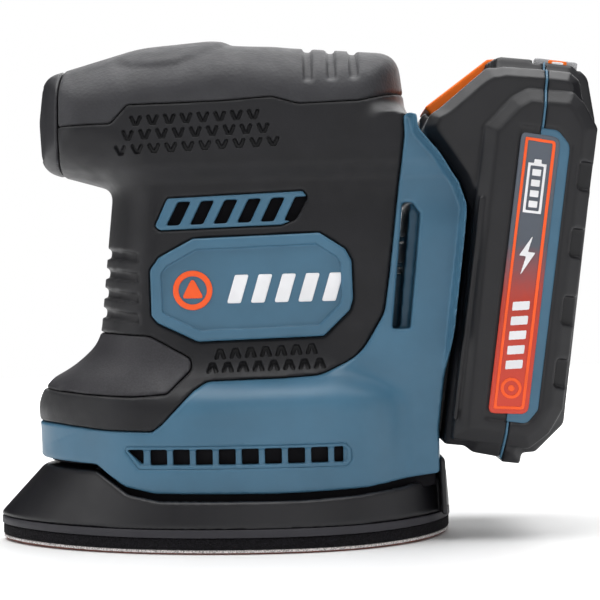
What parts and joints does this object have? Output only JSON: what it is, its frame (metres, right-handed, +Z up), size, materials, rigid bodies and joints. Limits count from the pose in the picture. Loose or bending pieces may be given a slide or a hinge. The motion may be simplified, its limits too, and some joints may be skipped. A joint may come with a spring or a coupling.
{
  "type": "cordless detail sander",
  "caption": "Palm-grip cordless detail sander with a pointed iron-shaped pad, blue shell, black soft grip, orbiting platen and slide-on battery pack.",
  "frame": {"origin": "on the underside of the sanding sheet, below the motor shaft", "axes": "+Z up, -X towards the sanding tip, +X towards the battery, +Y to the tool's right side; the tool is symmetric about Y = 0"},
  "size_m": [0.1837, 0.099, 0.1522],
  "materials": {
    "blue_shell": "satin moulded",
    "black_overmould": "satin soft-touch",
    "grained_pad": "fine grained",
    "black_plastic": "satin moulded",
    "orange_plastic": "satin moulded",
    "grey_label": "printed film",
    "steel": "machined",
    "copper": "wound wire",
    "foam": "open-cell foam",
    "hook_layer": "loop pile",
    "abrasive": "coated grit",
    "cell_wrap": "shrink sleeve",
    "circuit_board": "solder mask"
  },
  "bodies": {
    "housing": {"housing_left": "blue_shell", "housing_right": "blue_shell", "overmould_left": "black_overmould", "overmould_right": "black_overmould", "top_grip": "grained_pad", "front_grip": "grained_pad", "nose_cap": "black_plastic", "badge_left": "blue_shell", "badge_right": "blue_shell", "switch_body": "black_plastic", "motor_can": "steel", "motor_end_bell": "black_plastic", "lower_bearing": "steel", "upper_bearing": "steel", "magnet_left": "black_plastic", "magnet_right": "black_plastic", "motor_mount": "steel", "control_board": "circuit_board", "terminal_block": "black_plastic", "terminal_1": "steel", "terminal_2": "steel", "terminal_3": "steel", "terminal_4": "steel", "screw_1": "steel", "screw_2": "steel", "screw_3": "steel", "screw_4": "steel"},
    "rocker": {"switch_rocker": "orange_plastic"},
    "drive": {"shaft_and_eccentric": "steel", "armature": "copper", "commutator": "copper", "cooling_fan": "black_plastic", "counterweight": "steel"},
    "pad": {"platen": "black_plastic", "eccentric_bearing": "steel", "base_plate": "black_plastic", "foam_pad": "foam", "hook_layer": "hook_layer", "sanding_sheet": "abrasive", "platen_leg_1": "black_overmould", "platen_leg_2": "black_overmould", "platen_leg_3": "black_overmould", "platen_leg_4": "black_overmould"},
    "battery": {"battery_front_case": "black_plastic", "battery_rear_case": "black_overmould", "battery_mid_frame": "blue_shell", "label_left": "grey_label", "label_right": "grey_label", "battery_board": "circuit_board", "gauge_panel": "grey_label", "cell_1": "cell_wrap", "cell_2": "cell_wrap", "cell_3": "cell_wrap", "cell_4": "cell_wrap", "cell_5": "cell_wrap"},
    "latch": {"latch_button": "orange_plastic"},
    "gauge": {"gauge_button": "orange_plastic"}
  },
  "joints": [
    {"name": "shaft_spin", "type": "hinge", "parent": "housing", "child": "drive", "pos_m": [0, 0, 0], "axis": [0, 0, 1], "continuous": true},
    {"name": "platen_orbit", "type": "hinge", "parent": "drive", "child": "pad", "pos_m": [0.001, 0, 0], "axis": [0, 0, 1], "continuous": true},
    {"name": "switch_rock", "type": "hinge", "parent": "housing", "child": "rocker", "pos_m": [-0.0585, 0, 0.128], "axis": [0, 1, 0], "range_deg": [-5, 5]},
    {"name": "battery_slide", "type": "slide", "parent": "housing", "child": "battery", "axis": [0.1426, 0, 0.9898], "range_m": [0, 0.09]},
    {"name": "latch_press", "type": "slide", "parent": "battery", "child": "latch", "axis": [0.6409, 0, -0.7676], "range_m": [0, 0.002], "stiffness_N_per_m": 1500},
    {"name": "gauge_press", "type": "slide", "parent": "battery", "child": "gauge", "axis": [-0.1426, 0, -0.9898], "range_m": [0, 0.0008], "stiffness_N_per_m": 800}
  ],
  "couplings": [
    {"joint": "platen_orbit", "follows": "shaft_spin", "ratio": -1}
  ]
}
